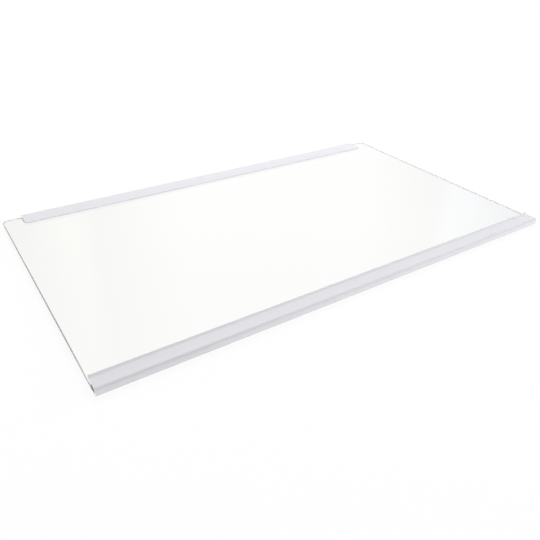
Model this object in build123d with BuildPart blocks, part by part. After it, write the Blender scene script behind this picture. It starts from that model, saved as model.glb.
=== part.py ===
# Glass shelf for a refrigerator: a toughened glass pane with a plastic trim pushed on along its front
# edge and a shorter one along its rear edge. Millimetres; +X along the front, +Y to the rear, +Z up.
# The origin is at the middle of the shelf, on the plane of the trims' undersides.
import os

from build123d import *

# Glass pane
glass_length = 520.0
glass_depth = 302.0
glass_thickness = 4.0
glass_corner_radius = 5.0
glass_arris = 0.4

# What both trims share: wall thickness, rounded lip tips and the ribs that grip the glass from below
trim_wall = 1.9
lip_tip_radius = 0.35 * trim_wall
slot_corner_radius = 0.75 * glass_arris
grip_rib_height = 0.4
grip_rib_foot = 1.2
grip_rib_crest = 0.6
grip_rib_pitch = 4.0
grip_rib_count = 2

# Front trim
front_trim_inset = 0.75
front_web = 2.0
front_upper_lip = 16.0
front_lower_lip = 12.0
front_heel_radius = 2.6
front_top_radius = 2.4
ridge_height = 1.2
ridge_crest = 0.7
ridge_ramp = 2.0
ridge_edge_radius = 0.25
ridge_foot_radius = 2.5

# Rear trim
rear_trim_inset = 20.5
rear_web = 2.0
rear_upper_lip = 20.0
rear_lower_lip = 10.0
rear_heel_radius = 1.2
rear_edge_radius = 1.0
rear_lip_tip = 0.6

# Levels above the trims' undersides
glass_bottom = trim_wall + grip_rib_height
glass_top = glass_bottom + glass_thickness
lip_top = glass_top + trim_wall
ridge_top = lip_top + ridge_height

# Places from front to rear: the trims' outer faces and the pane that seats against their webs
overall_depth = front_web + glass_depth + rear_web
front_face = -overall_depth / 2
rear_face = overall_depth / 2
glass_centre = front_face + front_web + glass_depth / 2

# Lengths of the trims, which stop short of the pane's left and right edges
front_trim_length = glass_length - 2 * front_trim_inset
rear_trim_length = glass_length - 2 * rear_trim_inset


# A section's corners are (distance in from the trim's outer face, height, corner radius).
def lower_half(web, lower_lip, heel_radius):
    """Heel, lower lip with its grip ribs, and the end wall of the slot."""
    corners = [
        (0, 0, heel_radius),
        (lower_lip, 0, lip_tip_radius),
        (lower_lip, trim_wall, lip_tip_radius),
    ]
    first_rib = lower_lip - grip_rib_pitch / 2
    for rib in range(grip_rib_count):
        centre = first_rib - rib * grip_rib_pitch
        corners += [
            (centre + grip_rib_foot / 2, trim_wall, 0),
            (centre + grip_rib_crest / 2, glass_bottom, 0),
            (centre - grip_rib_crest / 2, glass_bottom, 0),
            (centre - grip_rib_foot / 2, trim_wall, 0),
        ]
    corners += [
        (web, trim_wall, slot_corner_radius),
        (web, glass_top, slot_corner_radius),
    ]
    return corners


def draw_section(corners, outer_face, inward):
    """Closed outline of a trim's section; inward is +1 or -1, the way in from its outer face."""
    points = [(outer_face + inward * distance, height) for distance, height, radius in corners]
    FilletPolyline(*points, radius=[radius for distance, height, radius in corners], close=True)


# Pane: rectangle with rounded corners, its ground edges broken by an arris all round
with BuildPart() as glass_pane:
    with BuildSketch(Plane.XY.offset(glass_bottom)):
        with Locations((0, glass_centre)):
            RectangleRounded(glass_length, glass_depth, glass_corner_radius)
    extrude(amount=glass_thickness)
    faces_up_and_down = glass_pane.faces().filter_by(Axis.Z)
    chamfer(faces_up_and_down.edges(), length=glass_arris)
glass_pane.part.label = "glass_pane"

# Front trim: a rounded nose, and an upper lip that ends in a ridge with a concave ramp leading up to it
ridge_front = front_upper_lip - ridge_crest
front_section = lower_half(front_web, front_lower_lip, front_heel_radius) + [
    (front_upper_lip, glass_top, ridge_edge_radius),
    (front_upper_lip, ridge_top, ridge_edge_radius),
    (ridge_front, ridge_top, ridge_edge_radius),
    (ridge_front - ridge_ramp, lip_top, ridge_foot_radius),
    (0, lip_top, front_top_radius),
]
with BuildPart() as front_trim:
    with BuildSketch(Plane.YZ):
        with BuildLine():
            draw_section(front_section, front_face, 1)
        make_face()
    extrude(amount=front_trim_length / 2, both=True)
front_trim.part.label = "front_trim"

# Rear trim: a plain channel whose upper lip thins towards its free edge
rear_section = lower_half(rear_web, rear_lower_lip, rear_heel_radius) + [
    (rear_upper_lip, glass_top, 0.3 * rear_lip_tip),
    (rear_upper_lip, glass_top + rear_lip_tip, 0.5 * rear_lip_tip),
    (0, lip_top, rear_edge_radius),
]
with BuildPart() as rear_trim:
    with BuildSketch(Plane.YZ):
        with BuildLine():
            draw_section(rear_section, rear_face, -1)
        make_face()
    extrude(amount=rear_trim_length / 2, both=True)
rear_trim.part.label = "rear_trim"

# One file per piece
os.makedirs("parts", exist_ok=True)
export_step(glass_pane.part, "parts/glass_pane.step")
export_step(front_trim.part, "parts/front_trim.step")
export_step(rear_trim.part, "parts/rear_trim.step")
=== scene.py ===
# Glass shelf for a refrigerator: a toughened glass pane with a white plastic trim pushed on along its
# front edge and a shorter one along its rear edge. Metres; +X along the front, +Y to the rear, +Z up.
import math

import bpy
from mathutils import Matrix, Vector


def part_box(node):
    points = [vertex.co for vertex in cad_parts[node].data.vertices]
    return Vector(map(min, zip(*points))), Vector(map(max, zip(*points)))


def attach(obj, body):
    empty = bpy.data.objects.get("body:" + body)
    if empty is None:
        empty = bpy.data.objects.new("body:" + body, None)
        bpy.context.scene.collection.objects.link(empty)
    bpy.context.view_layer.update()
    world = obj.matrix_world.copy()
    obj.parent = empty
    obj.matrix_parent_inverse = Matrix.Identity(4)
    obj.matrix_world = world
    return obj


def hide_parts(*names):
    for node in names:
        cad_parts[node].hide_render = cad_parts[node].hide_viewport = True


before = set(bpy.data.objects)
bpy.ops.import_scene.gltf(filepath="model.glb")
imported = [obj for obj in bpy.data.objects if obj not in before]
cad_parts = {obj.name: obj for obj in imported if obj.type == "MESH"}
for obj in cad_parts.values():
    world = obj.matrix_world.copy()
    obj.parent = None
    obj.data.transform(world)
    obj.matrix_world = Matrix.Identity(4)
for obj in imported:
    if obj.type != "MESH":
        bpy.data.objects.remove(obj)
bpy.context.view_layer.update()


# Glass pane
# A rectangle of clear float glass with rounded corners. Its edges are ground, their sharp corners are
# broken by an arris, and it is toughened last. Its front and rear edges sit in the slots of the trims.
pane_low, pane_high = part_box("glass_pane")
pane_size = pane_high - pane_low
pane_middle = (pane_low + pane_high) / 2
pane_corner_radius = 0.005
pane_arc_steps = 12
pane_weld_distance = 1e-6
pane_arris = 0.0004
arris_above_angle = math.radians(60)
pane_sharp_above = math.radians(30)

glass_index = 1.52
glass_absorption_tint = (0.52, 0.66, 0.05, 1)
glass_absorption_per_metre = 3.2
float_wave_scale = 9.0
float_wave_strength = 0.05
float_wave_height = 0.0002

polished_normal_z = 0.95
ground_light_grey = (0.90, 0.92, 0.90, 1)
ground_dark_grey = (0.83, 0.86, 0.84, 1)
ground_roughness = 0.22
ground_roughness_spread = 0.1
ground_see_through = 1.0
ground_dust = 0.8
ground_dust_roughness = 0.5
ground_grain_scale = 5200.0
ground_scratch_strength = 0.1
ground_scratch_depth = 0.00004
noise_mean = 0.5


class Wire:
    """An output of one node in a tree. Sums, products and tests of wires add the tree's Math nodes."""

    def __init__(self, tree, socket=None):
        self.tree = tree
        self.socket = socket

    def node(self, kind, settings=None, sockets=None, output=0):
        """Adds a node, makes its settings, then sets or links its inputs; gives one of its outputs."""
        node = self.tree.nodes.new(kind)
        for name, value in (settings or {}).items():
            if name == "stops":
                ramp = node.color_ramp.elements
                while len(ramp) < len(value):
                    ramp.new(0)
                for stop, (place, colour) in zip(ramp, value):
                    stop.position = place
                    stop.color = colour
            else:
                setattr(node, name, value)
        for name, value in (sockets or {}).items():
            if isinstance(value, Wire):
                self.tree.links.new(value.socket, node.inputs[name])
            else:
                node.inputs[name].default_value = value
        return Wire(self.tree, node.outputs[output] if node.outputs else None)

    def other(self, output):
        """Another output of the same node."""
        return Wire(self.tree, self.socket.node.outputs[output])

    def math(self, operation, first, second=0.0):
        """A Math node on two wires or numbers."""
        return self.node("ShaderNodeMath", {"operation": operation}, {0: first, 1: second})

    def __add__(self, value):
        return self.math("ADD", self, value)

    __radd__ = __add__

    def __sub__(self, value):
        return self.math("SUBTRACT", self, value)

    def __rsub__(self, value):
        return self.math("SUBTRACT", value, self)

    def __mul__(self, value):
        return self.math("MULTIPLY", self, value)

    __rmul__ = __mul__

    def __gt__(self, value):
        return self.math("GREATER_THAN", self, value)

    def __lt__(self, value):
        return self.math("LESS_THAN", self, value)

    def __abs__(self):
        return self.math("ABSOLUTE", self)


def new_finish(name):
    """An empty material, and a wire to start its nodes from."""
    finish = bpy.data.materials.new(name)
    finish.use_nodes = True
    finish.node_tree.nodes.clear()
    return finish, Wire(finish.node_tree)


def noise(place, scale, detail):
    """Soft random shades over a piece, about noise_mean."""
    return place.node("ShaderNodeTexNoise", {}, {"Vector": place, "Scale": scale, "Detail": detail})


def mix_colours(share, first, second):
    """The first colour where the share is 0, the second where it is 1."""
    return share.node(
        "ShaderNodeMix", {"data_type": "RGBA"}, {"Factor": share, "A": first, "B": second}, output="Result"
    )


def bumps(height, strength, depth):
    """A normal that leans as a surface of that height would."""
    return height.node("ShaderNodeBump", {}, {"Strength": strength, "Distance": depth, "Height": height})


def clear_glass():
    """Polished faces with the float line's faint waves, and grey ground edges with a fine grain."""
    finish, start = new_finish("clear toughened glass")
    facing = start.node("ShaderNodeNewGeometry", output="True Normal")
    facing_up = abs(start.node("ShaderNodeSeparateXYZ", {}, {0: facing}, output="Z"))
    ground = facing_up < polished_normal_z
    place = start.node("ShaderNodeTexCoord", output="Object")
    waves = noise(place, float_wave_scale, detail=1.0)
    grain = noise(place, ground_grain_scale, detail=2.0)
    polished_skin = start.node(
        "ShaderNodeBsdfPrincipled",
        {},
        {
            "Base Color": (1, 1, 1, 1),
            "Roughness": 0.0,
            "IOR": glass_index,
            "Transmission Weight": 1.0,
            "Normal": bumps(waves, float_wave_strength, float_wave_height),
        },
    )
    ground_skin = start.node(
        "ShaderNodeBsdfPrincipled",
        {},
        {
            "Base Color": mix_colours(grain, ground_dark_grey, ground_light_grey),
            "Roughness": ground_roughness + ground_roughness_spread * (grain - noise_mean),
            "IOR": glass_index,
            "Transmission Weight": ground_see_through,
            "Sheen Weight": ground_dust,
            "Sheen Roughness": ground_dust_roughness,
            "Normal": bumps(grain, ground_scratch_strength, ground_scratch_depth),
        },
    )
    surface = start.node("ShaderNodeMixShader", {}, {0: ground, 1: polished_skin, 2: ground_skin})
    body = start.node(
        "ShaderNodeVolumeAbsorption",
        {},
        {"Color": glass_absorption_tint, "Density": glass_absorption_per_metre},
    )
    start.node("ShaderNodeOutputMaterial", {}, {"Surface": surface, "Volume": body})
    return finish


def new_object(name, data):
    """An object of the scene from a mesh, a curve, a lamp or a camera."""
    thing = bpy.data.objects.new(name, data)
    bpy.context.scene.collection.objects.link(thing)
    return thing


def new_tree(name, inputs):
    """A geometry tree with named inputs; gives the tree and a wire from each input."""
    tree = bpy.data.node_groups.new(name, "GeometryNodeTree")
    for label, kind in inputs.items():
        tree.interface.new_socket(label, in_out="INPUT", socket_type="NodeSocket" + kind)
    tree.interface.new_socket("Piece", in_out="OUTPUT", socket_type="NodeSocketGeometry")
    given = tree.nodes.new("NodeGroupInput")
    return tree, {label: Wire(tree, given.outputs[label]) for label in inputs}


def hand_over(shape, finish):
    """Ends a geometry tree: real mesh, one finish."""
    real = shape.node("GeometryNodeRealizeInstances", {}, {"Geometry": shape})
    dressed = real.node("GeometryNodeSetMaterial", {}, {"Geometry": real, "Material": finish})
    dressed.node("NodeGroupOutput", {}, {"Piece": dressed})


def apply_tree(blank, tree, values):
    """Puts a tree on a blank object and sets the tree's inputs, each by its identifier."""
    maker = blank.modifiers.new(tree.name, "NODES")
    maker.node_group = tree
    for item in tree.interface.items_tree:
        if item.in_out == "INPUT" and item.name in values:
            maker[item.identifier] = values[item.name]


def plain_piece(blank, name, sharp_above):
    """What a blank's modifiers make, as a plain mesh object with smooth arcs and sharp corners."""
    graph = bpy.context.evaluated_depsgraph_get()
    mesh = bpy.data.meshes.new_from_object(blank.evaluated_get(graph))
    mesh.name = name
    mesh.shade_smooth()
    mesh.set_sharp_from_angle(angle=sharp_above)
    bpy.data.objects.remove(blank)
    return new_object(name, mesh)


def pane_tree():
    """A rounded rectangle raised to the glass's thickness, closed by a second face below."""
    tree, given = new_tree("cut and ground pane", {
        "Length": "Float",
        "Depth": "Float",
        "Thickness": "Float",
        "Corner Radius": "Float",
        "Arc Steps": "Int",
        "Weld Distance": "Float",
        "Place": "Vector",
        "Finish": "Material",
    })
    start = Wire(tree)
    outline = start.node(
        "GeometryNodeCurvePrimitiveQuadrilateral", {}, {"Width": given["Length"], "Height": given["Depth"]}
    )
    rounded = start.node(
        "GeometryNodeFilletCurve",
        {"mode": "POLY"},
        {"Curve": outline, "Count": given["Arc Steps"], "Radius": given["Corner Radius"]},
    )
    face = start.node("GeometryNodeFillCurve", {"mode": "NGONS"}, {"Curve": rounded})
    raised = start.node(
        "GeometryNodeExtrudeMesh",
        {"mode": "FACES"},
        {"Mesh": face, "Offset": (0, 0, 1), "Offset Scale": given["Thickness"], "Individual": False},
    )
    underside = start.node("GeometryNodeFlipFaces", {}, {"Mesh": face})
    both = start.node("GeometryNodeJoinGeometry", {}, {"Geometry": raised})
    # Join Geometry takes a second link through the same socket.
    tree.links.new(underside.socket, both.socket.node.inputs["Geometry"])
    closed = start.node(
        "GeometryNodeMergeByDistance", {}, {"Geometry": both, "Distance": given["Weld Distance"]}
    )
    placed = start.node("GeometryNodeTransform", {}, {"Geometry": closed, "Translation": given["Place"]})
    hand_over(placed, given["Finish"])
    return tree


pane_blank = new_object("pane_blank", bpy.data.meshes.new("pane_blank"))
apply_tree(pane_blank, pane_tree(), {
    "Length": pane_size.x,
    "Depth": pane_size.y,
    "Thickness": pane_size.z,
    "Corner Radius": pane_corner_radius,
    "Arc Steps": pane_arc_steps,
    "Weld Distance": pane_weld_distance,
    "Place": (pane_middle.x, pane_middle.y, pane_low.z),
    "Finish": clear_glass(),
})
arris = pane_blank.modifiers.new("arris", "BEVEL")
arris.width = pane_arris
arris.segments = 1
arris.limit_method = "ANGLE"
arris.angle_limit = arris_above_angle
pane = plain_piece(pane_blank, "pane", pane_sharp_above)
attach(pane, "root")
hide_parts("glass_pane")


# Front trim
# A channel of white plastic, extruded in one length, sawn off and pushed on over the pane's front edge.
# Its nose is rounded, and its upper lip ends in a ridge, with a concave ramp, that holds spills back.
front_low, front_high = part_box("front_trim")
trim_wall = 0.0019
lip_tip_radius = 0.35 * trim_wall
slot_corner_radius = 0.75 * pane_arris
slot_floor = pane_low.z
slot_ceiling = pane_high.z
lip_top = slot_ceiling + trim_wall
grip_rib_foot = 0.0012
grip_rib_crest = 0.0006
grip_rib_pitch = 0.004
grip_rib_count = 2
trim_arc_steps = 10
trim_weld_distance = 1e-7
trim_sharp_above = math.radians(25)

front_web = pane_low.y - front_low.y
front_upper_lip = front_high.y - front_low.y
front_lower_lip = 0.012
front_heel_radius = 0.0026
front_top_radius = 0.0024
ridge_top = front_high.z
ridge_crest = 0.0007
ridge_ramp = 0.002
ridge_edge_radius = 0.00025
ridge_foot_radius = 0.0025

plastic_index = 1.5
trim_white = (0.722, 0.715, 0.738, 1)
trim_white_streak = (0.702, 0.695, 0.718, 1)
streaks_from_clouds = 0.7
streaks_from_die_lines = 0.3
satin_roughness = 0.5
die_line_roughness_spread = 0.10
cloud_roughness_spread = 0.06
die_line_scales = (1.5, 1100, 1100)
cloud_scale = 24.0
pore_scale = 2600.0
die_line_height = 0.8
pore_height = 0.2
relief_strength = 0.06
relief_depth = 0.00003

sawn_normal_x = 0.5
sawn_white = (0.77, 0.78, 0.78, 1)
sawn_roughness = 0.7
saw_mark_scales = (200, 300, 2600)
saw_mark_height = 3.0


def white_trim():
    """Satin plastic with the die's fine lines along its length, and ends left rough by the saw."""
    finish, start = new_finish("satin white plastic")
    place = start.node("ShaderNodeTexCoord", output="Object")
    facing = start.node("ShaderNodeNewGeometry", output="True Normal")
    sawn = abs(start.node("ShaderNodeSeparateXYZ", {}, {0: facing}, output="X")) > sawn_normal_x
    along = start.node("ShaderNodeMapping", {}, {"Vector": place, "Scale": die_line_scales})
    die_lines = noise(along, scale=1.0, detail=3.0)
    across = start.node("ShaderNodeMapping", {}, {"Vector": place, "Scale": saw_mark_scales})
    saw_marks = noise(across, scale=1.0, detail=2.0)
    clouds = noise(place, cloud_scale, detail=3.0)
    pores = noise(place, pore_scale, detail=1.0)
    streaks = streaks_from_clouds * clouds + streaks_from_die_lines * die_lines
    skin = mix_colours(streaks, trim_white, trim_white_streak)
    skin_height = die_line_height * die_lines + pore_height * pores
    height = (1 - sawn) * skin_height + sawn * saw_mark_height * saw_marks
    die_line_roughness = die_line_roughness_spread * (die_lines - noise_mean)
    cloud_roughness = cloud_roughness_spread * (clouds - noise_mean)
    skin_roughness = satin_roughness + die_line_roughness + cloud_roughness
    surface = start.node(
        "ShaderNodeBsdfPrincipled",
        {},
        {
            "Base Color": mix_colours(sawn, skin, sawn_white),
            "Roughness": skin_roughness + sawn * (sawn_roughness - satin_roughness),
            "IOR": plastic_index,
            "Normal": bumps(height, relief_strength, relief_depth),
        },
    )
    start.node("ShaderNodeOutputMaterial", {}, {"Surface": surface})
    return finish


def trim_tree():
    """Rounds a section's corners and draws it out to the trim's length, with closed ends."""
    tree, given = new_tree("extruded trim", {
        "Section": "Geometry",
        "Length": "Float",
        "Arc Steps": "Int",
        "Weld Distance": "Float",
        "Outer Face": "Float",
        "Turn": "Float",
        "Finish": "Material",
    })
    start = Wire(tree)
    corner_radius = start.node("GeometryNodeInputRadius")
    rounded = start.node(
        "GeometryNodeFilletCurve",
        {"mode": "POLY"},
        {"Curve": given["Section"], "Count": given["Arc Steps"], "Radius": corner_radius},
    )
    half = 0.5 * given["Length"]
    left_end = start.node("ShaderNodeCombineXYZ", {}, {"X": 0 - half})
    right_end = start.node("ShaderNodeCombineXYZ", {}, {"X": half})
    path = start.node("GeometryNodeCurvePrimitiveLine", {}, {"Start": left_end, "End": right_end})
    drawn = start.node(
        "GeometryNodeCurveToMesh", {}, {"Curve": path, "Profile Curve": rounded, "Fill Caps": True}
    )
    welded = start.node(
        "GeometryNodeMergeByDistance", {}, {"Geometry": drawn, "Distance": given["Weld Distance"]}
    )
    upright = start.node("ShaderNodeCombineXYZ", {}, {"X": math.pi, "Z": given["Turn"]})
    turned = start.node("FunctionNodeEulerToRotation", {}, {"Euler": upright})
    face_place = start.node("ShaderNodeCombineXYZ", {}, {"Y": given["Outer Face"]})
    placed = start.node(
        "GeometryNodeTransform", {}, {"Geometry": welded, "Translation": face_place, "Rotation": turned}
    )
    hand_over(placed, given["Finish"])
    return tree


# A section's corners are (distance in from the trim's outer face, height, corner radius).
def lower_half(web, lower_lip, heel_radius):
    """Heel, lower lip with its grip ribs, and the end wall of the slot."""
    corners = [
        (0, 0, heel_radius),
        (lower_lip, 0, lip_tip_radius),
        (lower_lip, trim_wall, lip_tip_radius),
    ]
    first_rib = lower_lip - grip_rib_pitch / 2
    for rib in range(grip_rib_count):
        centre = first_rib - rib * grip_rib_pitch
        corners += [
            (centre + grip_rib_foot / 2, trim_wall, 0),
            (centre + grip_rib_crest / 2, slot_floor, 0),
            (centre - grip_rib_crest / 2, slot_floor, 0),
            (centre - grip_rib_foot / 2, trim_wall, 0),
        ]
    corners += [
        (web, trim_wall, slot_corner_radius),
        (web, slot_ceiling, slot_corner_radius),
    ]
    return corners


def section_blank(name, corners):
    """A closed outline through a section's corners; each point carries its corner's radius."""
    outline = bpy.data.curves.new(name, "CURVE")
    outline.dimensions = "3D"
    line = outline.splines.new("POLY")
    line.points.add(len(corners) - 1)
    line.use_cyclic_u = True
    for point, (distance, height, radius) in zip(line.points, corners):
        point.co = (distance, height, 0, 1)
        point.radius = radius
    return new_object(name, outline)


ridge_front = front_upper_lip - ridge_crest
front_section = lower_half(front_web, front_lower_lip, front_heel_radius) + [
    (front_upper_lip, slot_ceiling, ridge_edge_radius),
    (front_upper_lip, ridge_top, ridge_edge_radius),
    (ridge_front, ridge_top, ridge_edge_radius),
    (ridge_front - ridge_ramp, lip_top, ridge_foot_radius),
    (0, lip_top, front_top_radius),
]
drawn_trim = trim_tree()
white_plastic = white_trim()
front_blank = section_blank("front_section", front_section)
apply_tree(front_blank, drawn_trim, {
    "Length": front_high.x - front_low.x,
    "Arc Steps": trim_arc_steps,
    "Weld Distance": trim_weld_distance,
    "Outer Face": front_low.y,
    "Turn": 0.0,
    "Finish": white_plastic,
})
front_piece = plain_piece(front_blank, "front_edge_trim", trim_sharp_above)
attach(front_piece, "root")
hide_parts("front_trim")


# Rear trim
# A plainer channel of the same white plastic, sawn shorter than the pane and pushed on over its rear
# edge. Its upper lip thins towards its free edge.
rear_low, rear_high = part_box("rear_trim")
rear_web = rear_high.y - pane_high.y
rear_upper_lip = rear_high.y - rear_low.y
rear_lower_lip = 0.010
rear_heel_radius = 0.0012
rear_edge_radius = 0.001
rear_lip_tip = 0.0006
rear_tip_low_radius = 0.3 * rear_lip_tip
rear_tip_top_radius = 0.5 * rear_lip_tip

rear_section = lower_half(rear_web, rear_lower_lip, rear_heel_radius) + [
    (rear_upper_lip, slot_ceiling, rear_tip_low_radius),
    (rear_upper_lip, slot_ceiling + rear_lip_tip, rear_tip_top_radius),
    (0, lip_top, rear_edge_radius),
]
rear_blank = section_blank("rear_section", rear_section)
apply_tree(rear_blank, drawn_trim, {
    "Length": rear_high.x - rear_low.x,
    "Arc Steps": trim_arc_steps,
    "Weld Distance": trim_weld_distance,
    "Outer Face": rear_high.y,
    "Turn": math.pi,
    "Finish": white_plastic,
})
rear_piece = plain_piece(rear_blank, "rear_edge_trim", trim_sharp_above)
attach(rear_piece, "root")
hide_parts("rear_trim")


# Floor
# A wide sheet of matt white studio paper that the shelf lies on. It reads as plain white and keeps a
# faint share of the shelf's shadow.
floor_half = 12.0
floor_drop = 0.00002
paper_white = (0.94, 0.94, 0.94, 1)
shadow_share = 0.08
shadow_share_through_glass = 0.2
plain_share_in_bounces = 0.6
shadow_fades_from = 0.4
shadow_ends_at = 0.75


def fade(value, begin, end, first=0.0, last=1.0, course="SMOOTHSTEP"):
    """Goes from first to last while the value goes from begin to end."""
    return value.node("ShaderNodeMapRange", {"interpolation_type": course}, {
        "Value": value,
        "From Min": begin,
        "From Max": end,
        "To Min": first,
        "To Max": last,
    })


def studio_paper():
    """Nearly its own plain white where it is seen; matt paper for the rest of the light it bounces."""
    finish, start = new_finish("studio paper")
    ray = start.node("ShaderNodeLightPath", output="Is Camera Ray")
    place = start.node("ShaderNodeTexCoord", output="Object")
    reach = start.node("ShaderNodeVectorMath", {"operation": "LENGTH"}, {0: place}, output="Value")
    near = fade(reach, shadow_fades_from, shadow_ends_at, first=1.0, last=0.0)
    straight = ray * (1 - shadow_share * near)
    through_glass = ray.other("Is Transmission Ray") * (1 - shadow_share_through_glass * near)
    plain_share = start.math("MAXIMUM", straight, through_glass)
    plain_share = start.math("MAXIMUM", plain_share, ray.other("Is Glossy Ray"))
    bounced = ray.other("Is Diffuse Ray") * plain_share_in_bounces
    plain_share = start.math("MAXIMUM", plain_share, bounced)
    matt = start.node("ShaderNodeBsdfDiffuse", {}, {"Color": paper_white})
    plain = start.node("ShaderNodeEmission", {}, {"Strength": 1.0})
    surface = start.node("ShaderNodeMixShader", {}, {0: plain_share, 1: matt, 2: plain})
    start.node("ShaderNodeOutputMaterial", {}, {"Surface": surface})
    return finish


def flat_sheet(name, corners, finish):
    """A flat sheet with four corners and one finish."""
    mesh = bpy.data.meshes.new(name)
    mesh.from_pydata(corners, [], [(0, 1, 2, 3)])
    mesh.materials.append(finish)
    return new_object(name, mesh)


floor_corners = [
    (-floor_half, -floor_half, -floor_drop),
    (floor_half, -floor_half, -floor_drop),
    (floor_half, floor_half, -floor_drop),
    (-floor_half, floor_half, -floor_drop),
]
floor = flat_sheet("floor", floor_corners, studio_paper())


# Flag
# A black card that stands on the floor beside the camera and keeps some of the studio's light off the
# shelf's left end. Neither the camera nor the glass shows it.
flag_place = Vector((-0.62, -0.62, 0))
flag_width = 0.6
flag_height = 0.35
flag_black = (0.03, 0.03, 0.03, 1)
flag_roughness = 0.8

flag_finish, flag_start = new_finish("black card")
flag_skin = flag_start.node(
    "ShaderNodeBsdfPrincipled", {}, {"Base Color": flag_black, "Roughness": flag_roughness}
)
flag_start.node("ShaderNodeOutputMaterial", {}, {"Surface": flag_skin})
shaded_end = Vector((front_low.x, front_low.y, 0))
flag_facing = (shaded_end - flag_place).normalized()
flag_side = flag_facing.cross(Vector((0, 0, 1))) * flag_width / 2
flag_top = Vector((0, 0, flag_height))
flag_corners = [
    flag_place - flag_side,
    flag_place + flag_side,
    flag_place + flag_side + flag_top,
    flag_place - flag_side + flag_top,
]
flag = flat_sheet("flag", flag_corners, flag_finish)
flag.visible_camera = False
flag.visible_glossy = False
flag.visible_transmission = False


# Camera
# Stands low off the shelf's front left corner and looks down across the glass, tilted a little. Its
# focal length is counted in pixels of the finished image.
camera_place = (-0.3189, -0.4533, 0.2903)
camera_heading = math.radians(34.50)
camera_dip = math.radians(32.30)
camera_tilt = math.radians(1.75)
camera_sees_from = 0.01
image_width = 540
focal_length_pixels = 551.0
sensor_width = 36.0

camera_data = bpy.data.cameras.new("camera")
camera_data.sensor_width = sensor_width
camera_data.lens = sensor_width * focal_length_pixels / image_width
camera_data.clip_start = camera_sees_from
camera = new_object("camera", camera_data)
camera.matrix_world = (
    Matrix.Translation(camera_place)
    @ Matrix.Rotation(-camera_heading, 4, "Z")
    @ Matrix.Rotation(math.pi / 2 - camera_dip, 4, "X")
    @ Matrix.Rotation(camera_tilt, 4, "Z")
)
bpy.context.scene.camera = camera


# Light
# A white studio: a bright paper sweep behind the shelf between dimmer flanks, dark above the viewer. Soft
# boxes hang high over the rear and the right; a long low card stands front right, a small one at the left.
sweep_heading = math.radians(33)
sweep_shades = [
    (-180, 0.6),
    (-26, 0.62),
    (-20.5, 0.90),
    (-18.5, 0.72),
    (-9, 1.0),
    (12, 1.0),
    (19.5, 0.79),
    (21.5, 0.93),
    (27, 0.66),
    (180, 0.6),
]
plain_tint = (1, 1, 1, 1)
warm_tint = (1, 1, 0.9, 1)
cool_tint = (0.98, 0.99, 1.08, 1)
sweep_tints = [
    (-120, plain_tint),
    (-60, warm_tint),
    (-20, warm_tint),
    (-8, plain_tint),
    (19.5, plain_tint),
    (21.5, cool_tint),
    (60, cool_tint),
    (120, plain_tint),
]
sweep_middle = 0.5
sweep_full_below = math.sin(math.radians(27))
sweep_dim_above = math.sin(math.radians(48))
sweep_dim_share = 0.64
sweep_begins = -0.25
sweep_alone = 0.15
front_low_shade = 1.41
front_high_shade = 0.15
front_low_below = 0.25
front_high_above = 0.6
zenith_shade = 0.25
zenith_begins = 0.8
zenith_alone = 0.95
horizon_top = math.sin(math.radians(12))
cool_white = (0.945, 0.962, 1.0)
warm_white = (1.0, 0.985, 0.965)
plain_white = (1.0, 1.0, 1.0)


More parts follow.
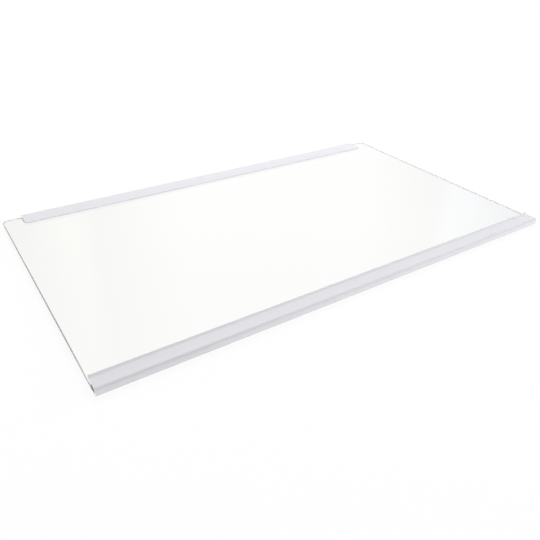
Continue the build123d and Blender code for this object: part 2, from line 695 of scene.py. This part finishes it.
def studio_world():
    """Plain white where it is seen straight or through glass; the studio in reflections and light."""
    world = bpy.data.worlds.new("studio")
    world.use_nodes = True
    world.node_tree.nodes.clear()
    start = Wire(world.node_tree)
    ray = start.node("ShaderNodeLightPath", output="Is Camera Ray")
    toward = start.node("ShaderNodeTexCoord", output="Generated")
    east = start.node("ShaderNodeSeparateXYZ", {}, {0: toward}, output="X")
    north = east.other("Y")
    up = east.other("Z")
    seen = start.math("MAXIMUM", ray, ray.other("Is Transmission Ray") * (up < horizon_top))
    behind = east * math.sin(sweep_heading) + north * math.cos(sweep_heading)
    beside = east * math.cos(sweep_heading) - north * math.sin(sweep_heading)
    turn = start.math("ARCTAN2", beside, behind) * (1 / math.tau) + sweep_middle
    shades = [(sweep_middle + degrees / 360, (shade, shade, shade, 1)) for degrees, shade in sweep_shades]
    sweep = start.node("ShaderNodeValToRGB", {"stops": shades}, {"Fac": turn})
    tints = [(sweep_middle + degrees / 360, tint) for degrees, tint in sweep_tints]
    tint = start.node("ShaderNodeValToRGB", {"stops": tints}, {"Fac": turn})
    dimming = fade(up, sweep_full_below, sweep_dim_above, first=1.0, last=sweep_dim_share, course="LINEAR")
    front = fade(up, front_low_below, front_high_above, front_low_shade, front_high_shade)
    is_behind = fade(behind, sweep_begins, sweep_alone)
    is_overhead = fade(up, zenith_begins, zenith_alone)
    around = is_behind * sweep * dimming + (1 - is_behind) * front
    studio = (1 - is_overhead) * around + is_overhead * zenith_shade
    light = start.node("ShaderNodeBackground", {}, {"Color": tint, "Strength": studio})
    plain = start.node("ShaderNodeBackground", {}, {"Color": plain_tint})
    mixed = start.node("ShaderNodeMixShader", {}, {0: seen, 1: light, 2: plain})
    start.node("ShaderNodeOutputWorld", {}, {"Surface": mixed})
    return world


def soft_lamp(name, place, width, height, power, colour):
    """A rectangular lamp that faces the middle of the shelf. It lights, but no reflection shows it."""
    lamp_data = bpy.data.lights.new(name, "AREA")
    lamp_data.shape = "RECTANGLE"
    lamp_data.size = width
    lamp_data.size_y = height
    lamp_data.energy = power
    lamp_data.color = colour
    lamp = new_object(name, lamp_data)
    lamp.location = place
    lamp.rotation_euler = (pane_middle - Vector(place)).to_track_quat("-Z", "Y").to_euler()
    lamp.visible_glossy = False
    lamp.visible_transmission = False


bpy.context.scene.world = studio_world()
soft_lamp("right_soft_box", place=(1.0, 0.9, 2.3), width=2.0, height=1.4, power=19.8, colour=cool_white)
soft_lamp("rear_soft_box", place=(0.35, 0.95, 1.6), width=1.0, height=0.6, power=17.6, colour=cool_white)
soft_lamp("front_card", place=(1.8, -1.0, 0.45), width=3.6, height=0.75, power=31.0, colour=warm_white)
soft_lamp("left_card", place=(-1.3, 0.45, 0.12), width=0.9, height=0.2, power=5.5, colour=plain_white)
bpy.context.scene.view_settings.view_transform = "Standard"
